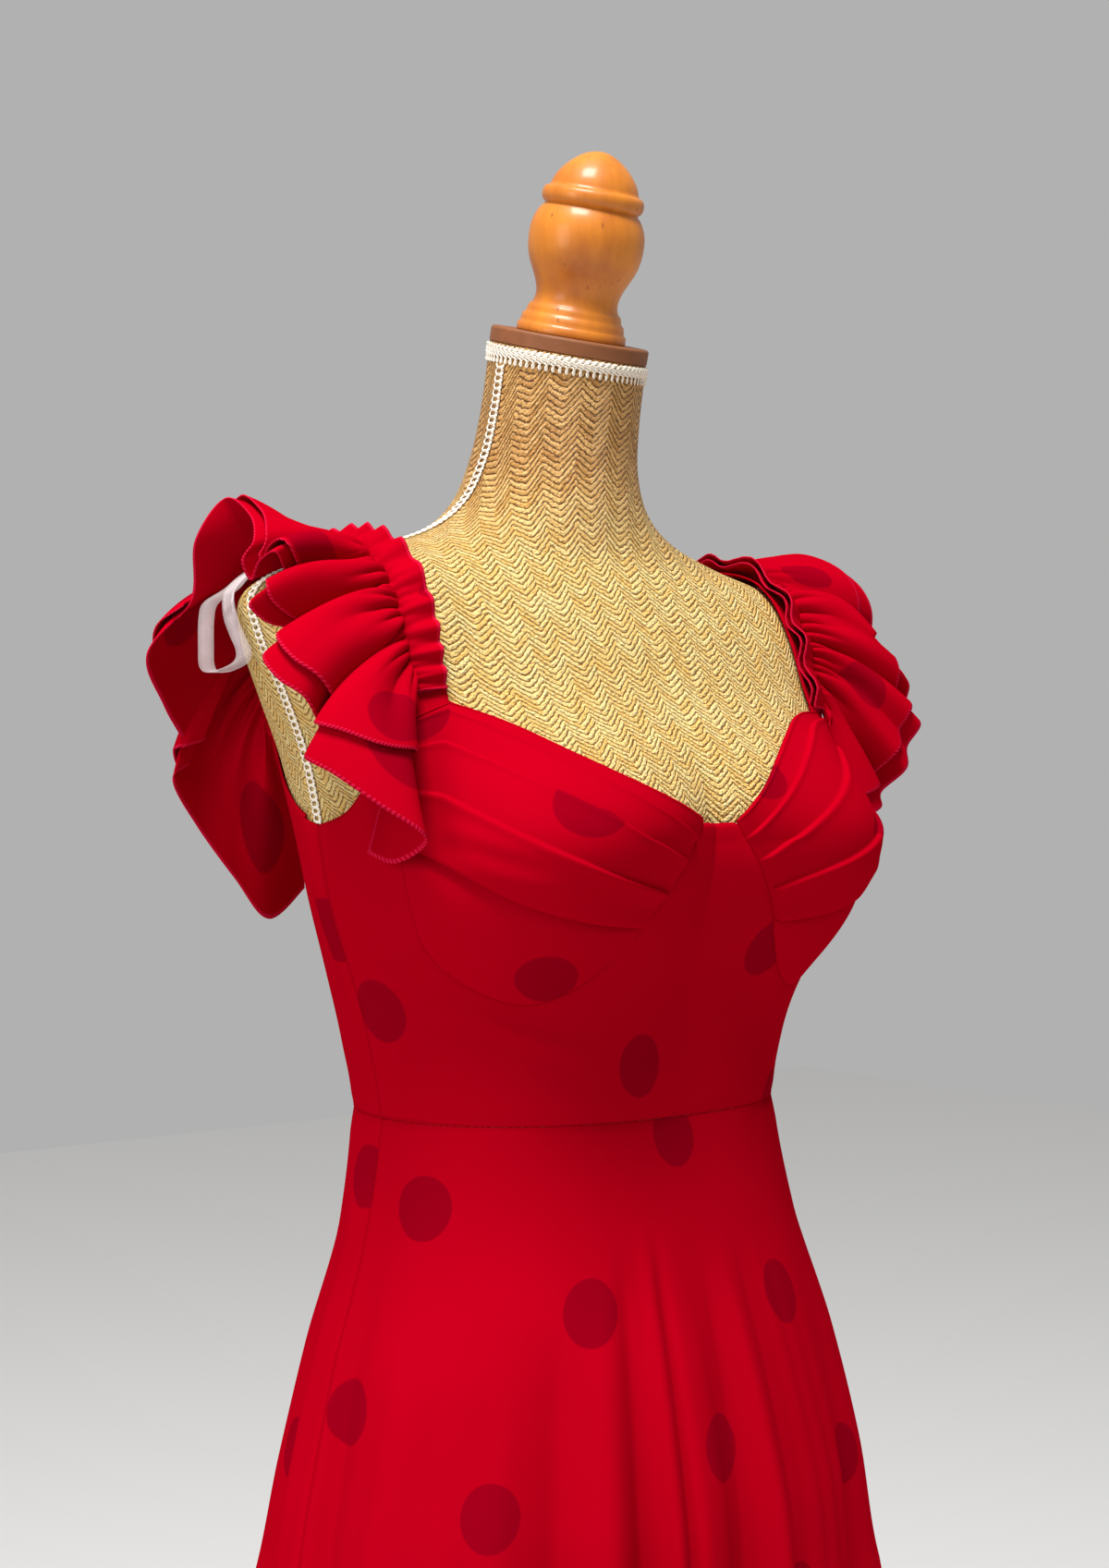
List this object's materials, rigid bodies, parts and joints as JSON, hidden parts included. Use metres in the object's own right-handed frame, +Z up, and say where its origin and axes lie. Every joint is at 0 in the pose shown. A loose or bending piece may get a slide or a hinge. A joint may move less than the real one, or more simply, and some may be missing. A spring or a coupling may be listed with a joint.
{
  "type": "flamenco dress on dress form",
  "caption": "Fitted sleeveless flamenco dress with pleated cups, ruffled shoulders and a flared skirt, worn by a straw-covered dress form with a turned finial.",
  "frame": {"origin": "centre of the underside of the stand's round base, on the floor", "axes": "+Z up the stand, +X to the wearer's left, -Y towards the dress's front"},
  "size_m": [0.7266, 0.6657, 1.599],
  "materials": {
    "crepe": "soft sheen",
    "straw": "woven",
    "braid": "matte",
    "ribbon": "translucent",
    "lacquered_wood": "gloss lacquer",
    "stained_wood": "matte"
  },
  "bodies": {
    "root": {"skirt_front": "crepe", "skirt_back_left": "crepe", "skirt_back_right": "crepe", "bodice_front": "crepe", "bodice_back_left": "crepe", "bodice_back_right": "crepe", "cup_upper_left": "crepe", "cup_upper_right": "crepe", "cup_lower_left": "crepe", "cup_lower_right": "crepe", "strap_left": "crepe", "strap_right": "crepe", "ruffle_top_left": "crepe", "ruffle_top_right": "crepe", "ruffle_under_left": "crepe", "ruffle_under_right": "crepe", "form_torso": "straw", "neck_braid": "braid", "side_braid_left": "braid", "side_braid_right": "braid", "hanger_loop_left": "ribbon", "hanger_loop_right": "ribbon", "finial": "lacquered_wood", "stand_pole": "lacquered_wood", "stand_collar": "lacquered_wood", "stand_base": "lacquered_wood", "neck_cap": "stained_wood"}
  },
  "joints": []
}
